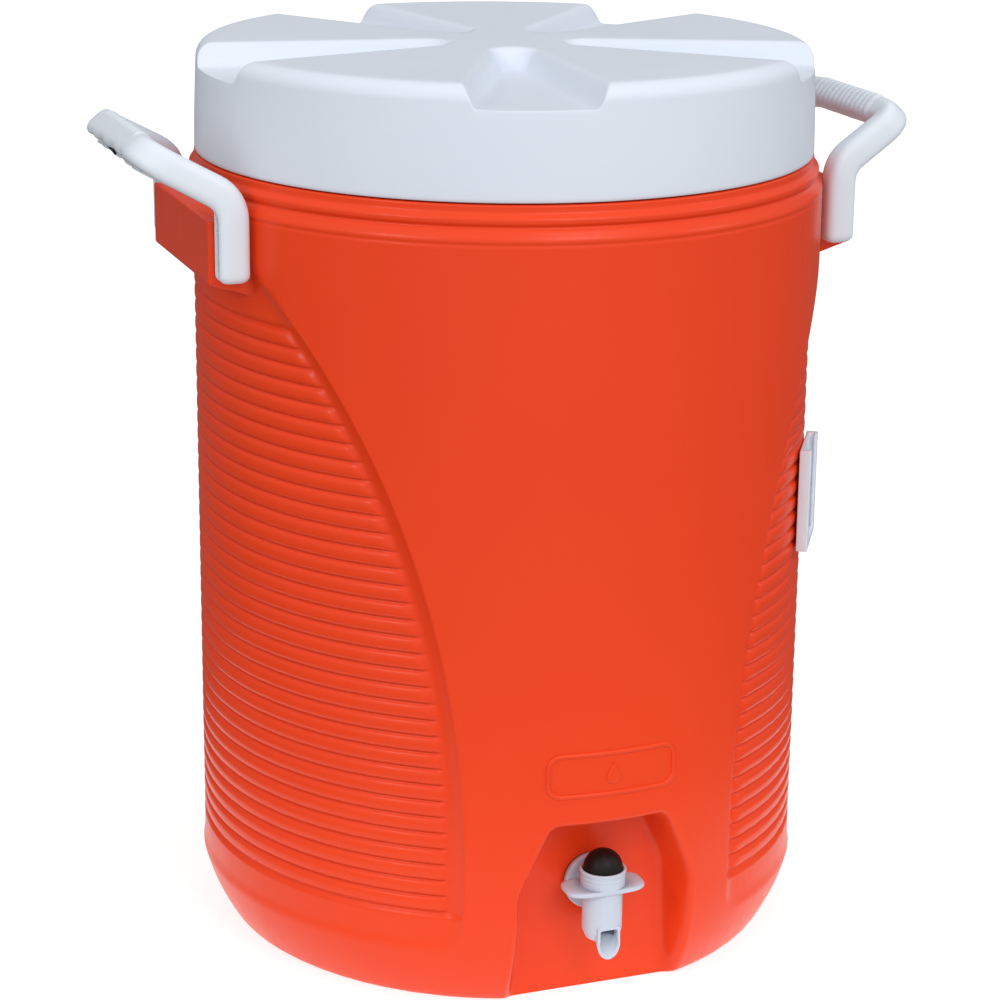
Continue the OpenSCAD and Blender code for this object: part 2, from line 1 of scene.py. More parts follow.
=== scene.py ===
"""An insulated drinks dispenser: a round double-walled vessel with a lift-off lid, two carrying
handles, a push-button spigot in a recess and a bracket for a cup dispenser. Sizes in the script
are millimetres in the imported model's frame: +Z is up, the spigot faces -Y and the handles are at
-X and +X."""

import math

import bmesh
import bpy
import numpy as np
from mathutils import Matrix, Vector


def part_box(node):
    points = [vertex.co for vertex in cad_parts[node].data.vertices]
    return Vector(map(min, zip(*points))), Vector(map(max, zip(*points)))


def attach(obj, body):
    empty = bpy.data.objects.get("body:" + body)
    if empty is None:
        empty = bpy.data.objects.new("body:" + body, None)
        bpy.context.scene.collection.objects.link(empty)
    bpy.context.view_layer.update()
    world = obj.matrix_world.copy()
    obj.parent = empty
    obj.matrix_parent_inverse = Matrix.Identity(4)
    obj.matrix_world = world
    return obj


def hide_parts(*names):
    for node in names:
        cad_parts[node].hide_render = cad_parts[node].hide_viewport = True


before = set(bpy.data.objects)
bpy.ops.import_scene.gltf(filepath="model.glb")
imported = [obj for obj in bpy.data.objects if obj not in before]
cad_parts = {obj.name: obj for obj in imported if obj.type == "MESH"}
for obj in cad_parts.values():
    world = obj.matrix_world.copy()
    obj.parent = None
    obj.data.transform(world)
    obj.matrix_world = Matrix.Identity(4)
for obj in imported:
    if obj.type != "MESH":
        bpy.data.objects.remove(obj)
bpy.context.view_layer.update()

# -------------------------------------------------------------------------------------------------
# Outer shell. One hollow moulding in orange polyethylene: plain front and back, a sunk panel with
# stacked ribs on each side, a lug over each panel that the handle clasps, a recess for the spigot,
# and a ringed shoulder that steps in to the neck. It stands on the ring round a shallow hollow.
MM = 0.001
shell_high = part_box("outer_shell")[1] / MM
lid_edge_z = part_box("lid_top")[0].z / MM
wall_r = shell_high.y
lug_r = shell_high.x
rim_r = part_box("inner_liner")[1].x / MM
recess_back = -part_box("spigot_outer_washer")[1].y / MM
wall = 3
foot_in = 18.5
base_curve = 60
foot_round = 3
hollow_r = 122
hollow_h = 3
panel_z = 30
panel_angle = 64
arch_z = 85
arch_h = 330
band_w = 12
rib_h = 2.6
rib_pitch = 9.1
rib_z = 57
rib_count = 34
rib_top = rib_z + rib_pitch * rib_count
crest_drop = 4
groove_drop = 6.6
recess_w = 49
recess_knee = 70
recess_top_w = 32
recess_top = 108
recess_draft = 5
lug_face_low = lid_edge_z - 55
lug_fall = 0.3
lug_low = lug_face_low - 11
lug_half_w = 57.7
lug_top = lid_edge_z - 20
neck_top = lid_edge_z - 1
lower_step_z = lid_edge_z - 18.5
upper_step_z = lid_edge_z - 8
shoulder_groove_z = lid_edge_z - 11.8
shoulder_line_z = lid_edge_z - 20.2


def smooth_max(a, b, soft):
    return np.maximum(a, b) + np.maximum(soft - np.abs(a - b), 0) ** 2 / (4 * soft)


def smooth_min(a, b, soft):
    return -smooth_max(-a, -b, soft)


def ease(t):
    t = np.clip(t, 0, 1)
    return t * t * (3 - 2 * t)


def plain_radius(z):
    """Radius of the shell without its panels, lugs and recess."""
    base_r = (base_curve**2 + foot_in**2) / (2 * foot_in)
    under = np.clip(base_curve - z, 0, base_curve)
    edge = np.clip(foot_round - z, 0, foot_round)
    curve_in = base_r - np.sqrt(base_r**2 - under**2)
    edge_in = foot_round - np.sqrt(foot_round**2 - edge**2)
    ring_in = 2.4 * ease((z - lower_step_z) / 6) + 2.8 * ease((z - upper_step_z) / 3.6)
    groove_in = 1.5 * np.exp(-(((z - shoulder_groove_z) / 1.1) ** 2))
    line_in = 0.5 * np.exp(-(((z - shoulder_line_z) / 0.7) ** 2))
    return wall_r - curve_in - edge_in - ring_in - groove_in - line_in


def inside_panel(side_angle, z):
    """How far a point is inside a side panel's outline, along the wall."""
    rise = np.clip((z - arch_z) / arch_h, 0, 0.985)
    slope = math.radians(panel_angle) * wall_r * rise / (arch_h * np.sqrt(1 - rise**2))
    half = panel_angle * np.sqrt(1 - rise**2)
    across = np.radians(half - side_angle) * wall_r / np.hypot(1, slope)
    return smooth_min(smooth_min(across, z - panel_z, 14), arch_z + arch_h - z, 10)


def recess_side(z):
    """Half-width of the recess's mouth at a height, before its corners are rounded."""
    lean = (recess_w - recess_top_w) / (recess_top - recess_knee)
    upper = recess_w - (z - recess_knee) * lean
    return smooth_min(recess_w + 1 - z / recess_knee, upper, 3)


def inside_recess(x, z):
    """How far a point of the front is inside the recess's mouth."""
    lean = math.atan2(recess_w - recess_top_w, recess_top - recess_knee)
    side = (np.abs(x) - recess_side(z)) * math.cos(lean)
    return -smooth_max(side, z - recess_top, 5)


def lug_radius(side_angle, z):
    """Radius of a lug: flat upright face, sloped underside, ends square to Y and a flat top."""
    turn = np.radians(np.clip(side_angle, 0.5, 60))
    under = lug_r - (lug_face_low - z) / lug_fall
    face = smooth_min(np.full_like(under, lug_r), under, 3) / np.cos(turn)
    top = wall_r - 3 + (lug_top - z) * 12
    return smooth_min(smooth_min(face, top, 4), lug_half_w / np.sin(turn), 4)


def shell_rows(z, inset=0):
    """Points round the shell at heights z, taken in by an inset, and the ribs' strength there."""
    z = np.asarray(z, float)[:, None]
    plain = plain_radius(z) - inset
    side = recess_side(np.minimum(z, recess_top - 4))
    flank = np.array([7, 6, 5.2, 4.6, 3.9, 3.1, 2.3, 1.5, 0.8, 0.1, -0.6, -1.4, -2.4])
    x = np.hstack([(side - flank[0]) * np.linspace(0, 1, 13)[:-1], side - flank])
    recess_columns = x.shape[1]
    front = np.sqrt(plain**2 - x**2)
    step = (inside_recess(x, z) + inset) / recess_draft
    step = smooth_min(smooth_max(step, 0, 0.5), 1, 0.35)
    y = -(front - (front - recess_back + inset) * step)
    start = np.degrees(np.arctan2(x[:, -1:], front[:, -1:]))
    rise = np.clip((z - arch_z) / arch_h, 0, 0.985)
    slope = math.radians(panel_angle) * wall_r * rise / (arch_h * np.sqrt(1 - rise**2))
    half = np.maximum(panel_angle * np.sqrt(1 - rise**2), 30)
    steps = np.array([-3, -1.2, -0.4, 0.1, 0.8, 2, 4, 6.5, 9, 10.8, 12, 13.5, 15.5, 18])
    band = half - np.degrees(steps * np.minimum(np.hypot(1, slope), 1.3) / wall_r)
    lug = np.array([20.6, 19.8, 19.3, 18.9, 18.5, 18.1, 17.7, 17.4, 17.1, 16.8, 16.4, 15.8])
    near = np.hstack([band, band[:, -1:] + (lug[0] - band[:, -1:]) * np.linspace(0, 1, 8)[1:-1]])
    lug_columns = np.hstack([lug, np.linspace(lug[-1], 0, 8)[1:]])
    near = np.hstack([near, np.repeat(lug_columns[None], len(z), 0)])
    plainly = np.linspace(0, 1, 17)
    front_cols = start + (90 - near[:, :1] - start) * plainly[1:-1]
    back_cols = 90 + near[:, :1] + (90 - near[:, :1]) * plainly[1:]
    bearing = np.hstack([front_cols, 90 - near, 90 + near[:, -2::-1], back_cols])
    away = np.abs(bearing - 90)
    inside = inside_panel(away, z) + inset
    past_ribs = ease((z - rib_top) / 3) + ease((rib_z - z) / 3)
    drop = groove_drop + (crest_drop - groove_drop) * past_ribs
    sunk = 1 - (1 - np.clip(inside / band_w, 0, 1)) ** 2
    panel = smooth_min(plain + 0 * sunk, wall_r - inset - drop * sunk, 0.01 + 1.5 * sunk)
    lug_face = lug_radius(away, z) - inset
    radius = smooth_max(panel, lug_face, 3)
    x = np.hstack([x, radius * np.sin(np.radians(bearing))])
    y = np.hstack([y, -radius * np.cos(np.radians(bearing))])
    strength = 1 - (1 - np.clip((inside - band_w + 1.5) / 5, 0, 1)) ** 2
    strength = np.sqrt(strength) * ease((panel - lug_face) / 4)
    strength = np.hstack([np.zeros((len(z), recess_columns)), strength]) * (inset == 0)
    x = np.hstack([x, -x[:, -2:0:-1]])
    y = np.hstack([y, y[:, -2:0:-1]])
    strength = np.hstack([strength, strength[:, -2:0:-1]])
    return np.stack([x, y, z + 0 * x], -1), strength


def turned_rows(profile, like):
    """Rows of one radius each, at the bearings of the points of another row."""
    away = like[:, :2] / np.linalg.norm(like[:, :2], axis=1)[:, None]
    return np.array([np.column_stack([away * r, np.full(len(away), z)]) for r, z in profile])


def loft(name, rings, join_ends=False):
    """Closed mesh through rings of equally many points, its ends shut by fans or joined."""
    rings = np.asarray(rings, float)
    count, sides = rings.shape[:2]
    points = rings.reshape(-1, 3)
    i = np.arange(sides)
    j = (i + 1) % sides
    first = (np.arange(count if join_ends else count - 1) * sides)[:, None]
    after = (first + sides) % (count * sides)
    faces = np.stack([first + i, first + j, after + j, after + i], -1).reshape(-1, 4).tolist()
    if not join_ends:
        points = np.concatenate([points, [rings[0].mean(0), rings[-1].mean(0)]])
        low = count * sides
        faces += [(low, b, a) for a, b in zip(i.tolist(), j.tolist())]
        top = (count - 1) * sides
        faces += [(low + 1, top + a, top + b) for a, b in zip(i.tolist(), j.tolist())]
    return solid(name, points, faces)


def solid(name, points, faces):
    """Object with a closed, smooth-shaded mesh whose faces point outwards."""
    mesh = bpy.data.meshes.new(name)
    mesh.from_pydata((np.asarray(points) * MM).tolist(), [], faces)
    work = bmesh.new()
    work.from_mesh(mesh)
    bmesh.ops.recalc_face_normals(work, faces=work.faces)
    work.to_mesh(mesh)
    work.free()
    mesh.shade_smooth()
    piece = bpy.data.objects.new(name, mesh)
    bpy.context.scene.collection.objects.link(piece)
    return piece


def add_node(tree, kind, inputs=(), **settings):
    """Adds a node, sets its properties, and sets or links its inputs."""
    made = tree.nodes.new(kind)
    for key, value in settings.items():
        setattr(made, key, value)
    for socket, value in inputs:
        if isinstance(value, bpy.types.NodeSocket):
            tree.links.new(value, made.inputs[socket])
        else:
            made.inputs[socket].default_value = value
    return made


def new_material(name):
    """New material, with its tree, its shader and the place on the piece that patterns follow."""
    material = bpy.data.materials.new(name)
    material.use_nodes = True
    tree = material.node_tree
    place = add_node(tree, "ShaderNodeTexCoord").outputs["Object"]
    return material, tree, tree.nodes["Principled BSDF"], place


def moulded_plastic(name, colour, shade, rough, grain, grain_depth, shine=0.5, marks=0.0):
    """Moulded plastic: slow colour drift, a fine grain, and faint streaks where it is handled."""
    material, tree, shader, place = new_material(name)
    drift = add_node(tree, "ShaderNodeTexNoise", [("Vector", place), ("Scale", 9.0),
                                                  ("Detail", 4.0)])
    blend = add_node(tree, "ShaderNodeMix", [(0, drift.outputs[0]), (6, (*shade, 1)),
                                             (7, (*colour, 1))], data_type="RGBA")
    tree.links.new(blend.outputs[2], shader.inputs["Base Color"])
    fine = add_node(tree, "ShaderNodeTexNoise", [("Vector", place), ("Scale", grain),
                                                 ("Detail", 2.0)])
    stretched = add_node(tree, "ShaderNodeMapping", [("Vector", place), ("Scale", (60, 60, 7))])
    streak = add_node(tree, "ShaderNodeTexNoise", [("Vector", stretched.outputs[0]),
                                                   ("Detail", 3.0)])
    worn = add_node(tree, "ShaderNodeMapRange", [(0, streak.outputs[0]), (1, 0.45), (2, 0.75),
                                                 (3, rough), (4, rough + 0.08 + marks)])
    tree.links.new(worn.outputs[0], shader.inputs["Roughness"])
    bump = add_node(tree, "ShaderNodeBump", [("Strength", 0.5), ("Distance", grain_depth * MM),
                                             ("Height", fine.outputs[0])])
    tree.links.new(bump.outputs[0], shader.inputs["Normal"])
    shader.inputs["Specular IOR Level"].default_value = shine
    shader.inputs["IOR"].default_value = 1.35
    return material


def paint(red, green, blue):
    """Linear colour from a paint-chart colour of 0 to 255."""
    return tuple(((c / 255 + 0.055) / 1.055) ** 2.4 for c in (red, green, blue))


def new_tree(name, *numbers):
    """New tree that takes geometry, numbers and a material, with its input sockets."""
    tree = bpy.data.node_groups.new(name, "GeometryNodeTree")
    face = tree.interface
    face.new_socket("Geometry", in_out="INPUT", socket_type="NodeSocketGeometry")
    for label in numbers:
        face.new_socket(label, in_out="INPUT", socket_type="NodeSocketFloat")
    face.new_socket("Material", in_out="INPUT", socket_type="NodeSocketMaterial")
    face.new_socket("Geometry", in_out="OUTPUT", socket_type="NodeSocketGeometry")
    return tree, add_node(tree, "NodeGroupInput").outputs


def close_tree(tree, given, geometry):
    """Ends a tree: makes its instances real and gives them the tree's material."""
    real = add_node(tree, "GeometryNodeRealizeInstances", [("Geometry", geometry)])
    dressed = add_node(tree, "GeometryNodeSetMaterial", [("Geometry", real.outputs[0]),
                                                         ("Material", given["Material"])])
    add_node(tree, "NodeGroupOutput", [("Geometry", dressed.outputs[0])])
    return tree


def rib_tree():
    """Ribs: pushes each point outwards by a rounded profile that repeats along its rib_place."""
    tree, given = new_tree("ribs", "Rib height", "Pitch", "First rib", "Number of ribs")

    def sum_of(operation, *terms):
        made = add_node(tree, "ShaderNodeMath", list(enumerate(terms)), operation=operation)
        return made.outputs[0]

    def stored(label, kind):
        return add_node(tree, "GeometryNodeInputNamedAttribute", [("Name", label)],
                        data_type=kind).outputs[0]

    along = sum_of("DIVIDE", sum_of("SUBTRACT", stored("rib_place", "FLOAT"), given["First rib"]),
                   given["Pitch"])
    among = sum_of("MULTIPLY", sum_of("GREATER_THAN", along, 0.0),
                   sum_of("LESS_THAN", along, given["Number of ribs"]))
    twice = sum_of("MULTIPLY", sum_of("FRACT", along), 2.0)
    off_middle = sum_of("ABSOLUTE", sum_of("SUBTRACT", twice, 1.0))
    rounded = sum_of("SQRT", sum_of("SUBTRACT", 1.0, sum_of("POWER", off_middle, 2.6)))
    push = sum_of("MULTIPLY", sum_of("MULTIPLY", rounded, among),
                  sum_of("MULTIPLY", given["Rib height"], stored("rib_strength", "FLOAT")))
    offset = add_node(tree, "ShaderNodeVectorMath", [(0, stored("rib_way", "FLOAT_VECTOR")),
                                                     ("Scale", push)], operation="SCALE")
    moved = add_node(tree, "GeometryNodeSetPosition", [("Geometry", given["Geometry"]),
                                                       ("Offset", offset.outputs[0])])
    return close_tree(tree, given, moved.outputs[0])


def run_tree(piece, tree, values):
    """Runs a tree on a piece with inputs given by name, and leaves its result as a plain mesh."""
    sockets = {item.name: item.identifier for item in tree.interface.items_tree
               if item.in_out == "INPUT"}
    modifier = piece.modifiers.new(tree.name, "NODES")
    modifier.node_group = tree
    for label, value in values.items():
        modifier[sockets[label]] = value
    settle(piece)


def settle(piece):
    """Turns a piece with modifiers into its plain mesh."""
    graph = bpy.context.evaluated_depsgraph_get()
    mesh = bpy.data.meshes.new_from_object(piece.evaluated_get(graph), depsgraph=graph)
    piece.modifiers.clear()
    piece.data = mesh


def set_ribs(piece, place, strength, way):
    """Stores what the rib tree reads: place along the row of ribs, strength and direction."""
    spare = len(piece.data.vertices) - len(place)
    for label, values in (("rib_place", np.append(place, np.zeros(spare)) * MM),
                          ("rib_strength", np.append(strength, np.zeros(spare)))):
        piece.data.attributes.new(label, "FLOAT", "POINT").data.foreach_set("value", values)
    way = np.vstack([way, np.zeros((spare, 3))])
    ways = piece.data.attributes.new("rib_way", "FLOAT_VECTOR", "POINT")
    ways.data.foreach_set("vector", way.ravel())


def heights(*stretches, least=0.4):
    """Heights from several stretches in order, leaving out any closer together than the least."""
    kept = []
    for z in sorted(np.concatenate([np.atleast_1d(s) for s in stretches])):
        if not kept or z - kept[-1] >= least:
            kept.append(z)
    return kept


phases = np.array([0, 0.07, 0.2, 0.37, 0.63, 0.8, 0.93])
rib_rows = np.concatenate([rib_z + rib_pitch * (i + phases) for i in range(rib_count)])
foot_rows = [0, 0.2, 0.7, 1.5, 3, 5.5]
recess_rows = [recess_top - 0.6, recess_top + 0.4]
outer_z = foot_rows + heights(np.arange(10, 30, 5), np.arange(30, rib_z - 1, 1.5), rib_rows,
                              recess_rows,
                              np.arange(rib_top, lug_low, 1.5), np.arange(lug_low, 390, 0.4),
                              np.arange(391, lug_top - 3, 4),
                              np.arange(lug_top - 2.6, lug_top + 1, 0.4),
                              np.arange(lug_top + 1.2, neck_top - 0.5, 0.7))
inner_z = heights(np.arange(wall + hollow_h, 60, 9), np.arange(62, 84, 6), np.arange(86, 116, 3),
                  np.arange(120, lug_low, 16), np.arange(lug_low, lug_top - 2, 5))[::-1]
outer, ribbed = shell_rows(outer_z)
inner = shell_rows(inner_z, wall)[0]
rim_top = shell_high.z
neck_r = plain_radius(neck_top)
base = turned_rows([(60, hollow_h), (hollow_r, hollow_h), (hollow_r + 0.8, 0)], outer[0])
neck = turned_rows([(neck_r, neck_top - 0.4), (neck_r - 0.4, neck_top), (rim_r + 0.6, neck_top),
                    (rim_r, neck_top + 0.6), (rim_r, rim_top - 0.4), (rim_r - 0.4, rim_top),
                    (rim_r - wall + 0.4, rim_top), (rim_r - wall, rim_top - 0.4),
                    (rim_r - wall, lug_top + 1)], outer[-1])
shell = loft("shell", np.concatenate([base, outer, neck, inner]))
shell_points = np.concatenate([base, outer, neck, inner]).reshape(-1, 3)
strength = np.concatenate([np.zeros(base.shape[:2]), ribbed, np.zeros(neck.shape[:2]),
                           np.zeros(inner.shape[:2])]).ravel()
away = shell_points * (1, 1, 0)
away /= np.maximum(np.linalg.norm(away, axis=1), 1)[:, None]
set_ribs(shell, shell_points[:, 2], strength, away)
orange = moulded_plastic("orange_polyethylene", paint(238, 68, 22), paint(231, 61, 19),
                         0.3, 700, 0.05)
ribs = rib_tree()
run_tree(shell, ribs, {"Rib height": rib_h * MM, "Pitch": rib_pitch * MM, "First rib": rib_z * MM,
                       "Number of ribs": float(rib_count), "Material": orange})
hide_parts("outer_shell")
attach(shell, "vessel")

# -------------------------------------------------------------------------------------------------
# Badge on the front of the shell. A raised bead round a blank field, with one raised drop in its
# middle, all part of the orange moulding.
badge_low = 126
badge_high = 149
badge_half_w = 36
badge_corner = 7
bead_r = 1.3
bead_share = 0.9
drop_r = 6.2


def on_wall(x, z, out):
    """Point on the wall's front, at a distance along the wall and a height, standing out of it."""
    bearing = x / wall_r
    r = wall_r + out
    return (r * math.sin(bearing), -r * math.cos(bearing), z)


def badge_line(steps=12, runs=24):
    """Rounded oblong round the badge's field: points and their directions from its middle."""
    low_x, low_z = badge_half_w - badge_corner, (badge_high - badge_low) / 2 - badge_corner
    middle = (badge_low + badge_high) / 2
    for corner, (sx, sz) in enumerate([(1, 1), (-1, 1), (-1, -1), (1, -1)]):
        for k in range(steps + 1):
            a = math.pi / 2 * (corner + k / steps)
            yield (sx * low_x + badge_corner * math.cos(a),
                   middle + sz * low_z + badge_corner * math.sin(a), a)
        for k in range(1, runs if sz == sx else 0):
            x = sx * low_x * (1 - 2 * k / runs)
            yield x, middle + sz * (low_z + badge_corner), math.pi / 2 * (corner + 1)


bead = []
for x, z, a in badge_line():
    bead.append([on_wall(x + bead_r * math.cos(b) * math.cos(a),
                         z + bead_r * math.cos(b) * math.sin(a),
                         bead_share * bead_r * math.sin(b))
                 for b in np.linspace(0, 2 * math.pi, 12, endpoint=False)])
badge = loft("badge_bead", bead, join_ends=True)
drop_rows = []
for share, out in [(1, -0.6), (1, 0.35), (0.96, 0.6), (0.88, 0.75), (0.6, 0.85), (0.25, 0.9)]:
    row = []
    for a in np.linspace(0, 2 * math.pi, 48, endpoint=False):
        taper = math.sin(a / 2) ** 1.6
        row.append(on_wall(share * drop_r * 0.95 * math.sin(a) * taper,
                           (badge_low + badge_high) / 2 + share * drop_r * math.cos(a), out))
    drop_rows.append(row)
badge_drop = loft("badge_drop", drop_rows)
for piece in (badge, badge_drop):
    piece.data.materials.append(orange)
    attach(piece, "vessel")

# -------------------------------------------------------------------------------------------------
# Foam between the walls, and the plug that shuts the hole through which it was blown. The foam is
# never seen; the plug is snapped into the hollow base.
foam_gap = 0.3
foam_outside = shell_rows(inner_z[::-1], wall + foam_gap)[0]
liner_low, liner_high = (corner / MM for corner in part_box("inner_liner"))
foam_r = 130.6
foam_neck_z = liner_high.z - wall - foam_gap
foam_rim_r = rim_r - wall - foam_gap
foam_inside = turned_rows([(foam_rim_r, lug_top + 1), (foam_rim_r, foam_neck_z),
                           (foam_r, foam_neck_z), (foam_r - 3, liner_low.z - foam_gap),
                           (foam_r - 60, liner_low.z - foam_gap)], foam_outside[-1])
foam_body = loft("blown_foam_body", np.concatenate([foam_outside, foam_inside]))
foam, foam_tree, foam_shader, foam_place = new_material("blown_foam")
cells = add_node(foam_tree, "ShaderNodeTexVoronoi", [("Vector", foam_place), ("Scale", 700.0)])
foam_colour = add_node(foam_tree, "ShaderNodeMix", [(0, cells.outputs[0]),
                                                    (6, (*paint(214, 196, 140), 1)),
                                                    (7, (*paint(240, 228, 184), 1))],
                       data_type="RGBA")
foam_tree.links.new(foam_colour.outputs[2], foam_shader.inputs["Base Color"])
foam_bump = add_node(foam_tree, "ShaderNodeBump", [("Distance", 0.4 * MM),
                                                   ("Height", cells.outputs[0])])
foam_tree.links.new(foam_bump.outputs[0], foam_shader.inputs["Normal"])
foam_shader.inputs["Roughness"].default_value = 0.95


def dress(node, material):
    """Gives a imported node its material."""
    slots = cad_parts[node].data.materials
    slots.clear()
    slots.append(material)


foam_body.data.materials.append(foam)
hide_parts("foam_insulation")
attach(foam_body, "vessel")
dress("lid_foam", foam)
dress("foam_fill_plug", orange)

# -------------------------------------------------------------------------------------------------
# Liner. A white food-safe polyethylene tub that tapers to its floor; its flange lies on the
# shell's rim under the lid.
liner_white = moulded_plastic("liner_polyethylene", paint(238, 239, 238), paint(226, 228, 228),
                              0.3, 320, 0.12)
dress("inner_liner", liner_white)

# -------------------------------------------------------------------------------------------------
# Lid. A white shell with a rounded top edge and five finger pockets: wedges that start in a round
# end near the middle, widen outwards, and open through the lid's side. Pan, gasket and plug close
# it below.
lid_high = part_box("lid_top")[1] / MM
lid_top_z = lid_high.z
lid_r = lid_high.x
edge_r = 9
draft_in = 1.6
pocket_count = 5
pocket_pitch = 360 / pocket_count
pocket_bearing = -15
pocket_depth = 12
pocket_start = 47
pocket_end_r = 11.6
pocket_spread = math.radians(11.7)
pocket_wall = 4.8
rim_soft = 6
skirt_t = 3


def inside_pocket(x, along):
    """How far a point is inside a pocket's outline, with its axis away from the lid's middle."""
    side = np.abs(x) * math.cos(pocket_spread) - (along - pocket_start) * math.sin(pocket_spread)
    back = (along - pocket_start) * math.cos(pocket_spread) + np.abs(x) * math.sin(pocket_spread)
    reach = np.where(back > 0, side, np.hypot(x, along - pocket_start))
    return pocket_end_r - reach


def lid_columns(radius):
    """Bearings round the lid for a row at a radius: crowded at the sides of each pocket."""
    rim = np.clip(radius, 56, lid_r)
    axis_w = (pocket_end_r / math.cos(pocket_spread)
              + (rim - pocket_start) * math.tan(pocket_spread))
    line = math.degrees(math.asin(axis_w / rim))
    steps = np.array([-3, -2, -1.2, -0.5, 0.2, 0.9, 1.7, 2.6, 3.5, 4.3, 5, 5.8, 7])
    edge = line - np.degrees(steps / rim)
    half = np.concatenate([np.linspace(0, edge[-1], 8)[:-1], edge[::-1],
                           np.linspace(edge[0], pocket_pitch / 2, 9)[1:]])
    one = np.concatenate([half, -half[-2:0:-1] + pocket_pitch])
    return np.concatenate([pocket_bearing + pocket_pitch * i + one for i in range(pocket_count)])


def lid_row(radius, height, inset=0):
    """Points round the lid at a radius and a height, sunk where a pocket is."""
    bearing = lid_columns(radius)
    turn = (bearing - pocket_bearing + pocket_pitch / 2) % pocket_pitch - pocket_pitch / 2
    x = radius * np.sin(np.radians(turn))
    along = radius * np.cos(np.radians(turn))
    step = (inside_pocket(x, along) + inset) / pocket_wall
    step = smooth_min(smooth_max(step, 0, 0.7), 1, 0.4)
    floor_z = lid_top_z - pocket_depth - inset
    blend = lid_top_z - inset - (pocket_depth + 0.2) * step
    rounded = smooth_min(blend, height, 0.05 + rim_soft * step)
    z = np.where(height > floor_z - rim_soft, rounded, height)
    z = np.where(step < 0.001, height, z)
    way = np.radians(bearing)
    return np.column_stack([radius * np.sin(way), -radius * np.cos(way), z])


def lid_profile(inset, flat_steps):
    """Radius and height of each row from the middle of the top, over its edge to the side."""
    top = lid_top_z - inset
    edge = edge_r - inset
    rows = [(r, top) for r in flat_steps]
    side_r = lid_r - draft_in - inset
    rows += [(side_r - edge + edge * math.sin(a), top - edge + edge * math.cos(a))
             for a in np.linspace(0.06, math.pi / 2, 16 if inset == 0 else 5)]
    return rows


flats = np.concatenate([np.arange(4, 32, 5), np.arange(33, 52, 0.9), np.arange(53, 66, 2.5),
                        np.arange(69, 158, 5)])
outer_rows = lid_profile(0, flats)
side_top = outer_rows[-1][1]
for share in np.concatenate([[0.03, 0.07, 0.12], np.linspace(0.18, 0.94, 10), [0.97]]):
    z = side_top + (lid_edge_z + 0.6 - side_top) * share
    outer_rows.append((lid_r - draft_in * (1 - share) ** 1.6, z))
outer_rows += [(lid_r - 0.1, lid_edge_z + 0.4), (lid_r - 0.5, lid_edge_z),
               (lid_r - skirt_t + 0.5, lid_edge_z),
               (lid_r - skirt_t, lid_edge_z + 0.5), (lid_r - skirt_t, lid_edge_z + 30)]
inner_rows = lid_profile(skirt_t, np.concatenate([np.arange(6, 32, 8), np.arange(32, 52, 3),
                                                  np.arange(56, 160, 9)]))[::-1]
lid = loft("lid", [lid_row(r, z) for r, z in outer_rows]
           + [lid_row(r, z, skirt_t) for r, z in inner_rows])
lid_white = moulded_plastic("lid_polyethylene", paint(224, 231, 241), paint(213, 221, 233),
                            0.42, 520, 0.09)
lid.data.materials.append(lid_white)
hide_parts("lid_top")
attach(lid, "lid")
dress("lid_pan", lid_white)
rubber = moulded_plastic("grey_rubber", paint(96, 98, 102), paint(84, 86, 90), 0.7, 900, 0.08)
dress("lid_gasket", rubber)

# -------------------------------------------------------------------------------------------------
# Handles. Two white channel mouldings, open on their outer underside and stiffened by cross ribs.
# Each leg clasps the end of a lug, an arm reaches out and up, and the grip between the arms has
# fine ridges on top and finger lobes along its lower lip.
handle_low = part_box("handle_right")[0] / MM
leg_x = 173.2
leg_y = 65.6
knee_z = lid_edge_z - 9
grip_x = 214
grip_y = 53
grip_z = lid_top_z - 45
handle_w = 17
handle_t = 15
skin_t = 2.6
slot_half = 3.4
foot_solid = 5
ridge_pitch = 5.4
ridge_count = 13
ridge_h = 1.0
lobe_pitch = 26
lobe_h = 0.9
half_points = 34


def bend(before, corner, after, reach):
    """Points round a corner between two straight runs."""
    a = corner + (before - corner).normalized() * reach
    b = corner + (after - corner).normalized() * reach
    return [a * (1 - t) ** 2 + corner * 2 * t * (1 - t) + b * t * t for t in np.linspace(0, 1, 9)]


def handle_path():
    """Middle line of the right handle from its front foot to its back foot, finely stepped."""
    foot = Vector((leg_x, -leg_y, handle_low.z))
    knee = Vector((leg_x, -leg_y, knee_z))
    corner = Vector((grip_x, -grip_y, grip_z))
    middle = Vector((grip_x, 0, grip_z))
    half = [foot, *bend(foot, knee, corner, 10), *bend(knee, corner, middle, 13), middle]
    line = np.array(half + [Vector((p.x, -p.y, p.z)) for p in half[-2::-1]])
    run = np.append(0, np.cumsum(np.linalg.norm(np.diff(line, axis=0), axis=1)))
    grip_from = run[-1] / 2 - ridge_pitch * (ridge_count / 2 + 0.5)
    ridge_steps = np.arange(grip_from, run[-1] / 2, ridge_pitch / 7)
    foot_steps = [0, 0.4, 1.2, 2.4, 4, foot_solid, foot_solid + 0.5]
    first = np.concatenate([foot_steps, np.arange(foot_solid + 2, grip_from, 1.6), ridge_steps])
    steps = np.concatenate([first, [run[-1] / 2], run[-1] - first[::-1]])
    return np.column_stack([np.interp(steps, run, line[:, k]) for k in range(3)]), steps, run[-1]


def oval(half_w, half_t, gap_half):
    """Half of a channel's section: a soft oblong from one side of its gap round to the other."""
    end = math.pi - math.asin((gap_half / half_t) ** (1 / 0.6))
    a = np.linspace(-end, end, half_points)
    c, s = np.cos(a), np.sin(a)
    return np.column_stack([half_w * np.sign(c) * abs(c) ** 0.6,
                            half_t * np.sign(s) * abs(s) ** 0.6]), a


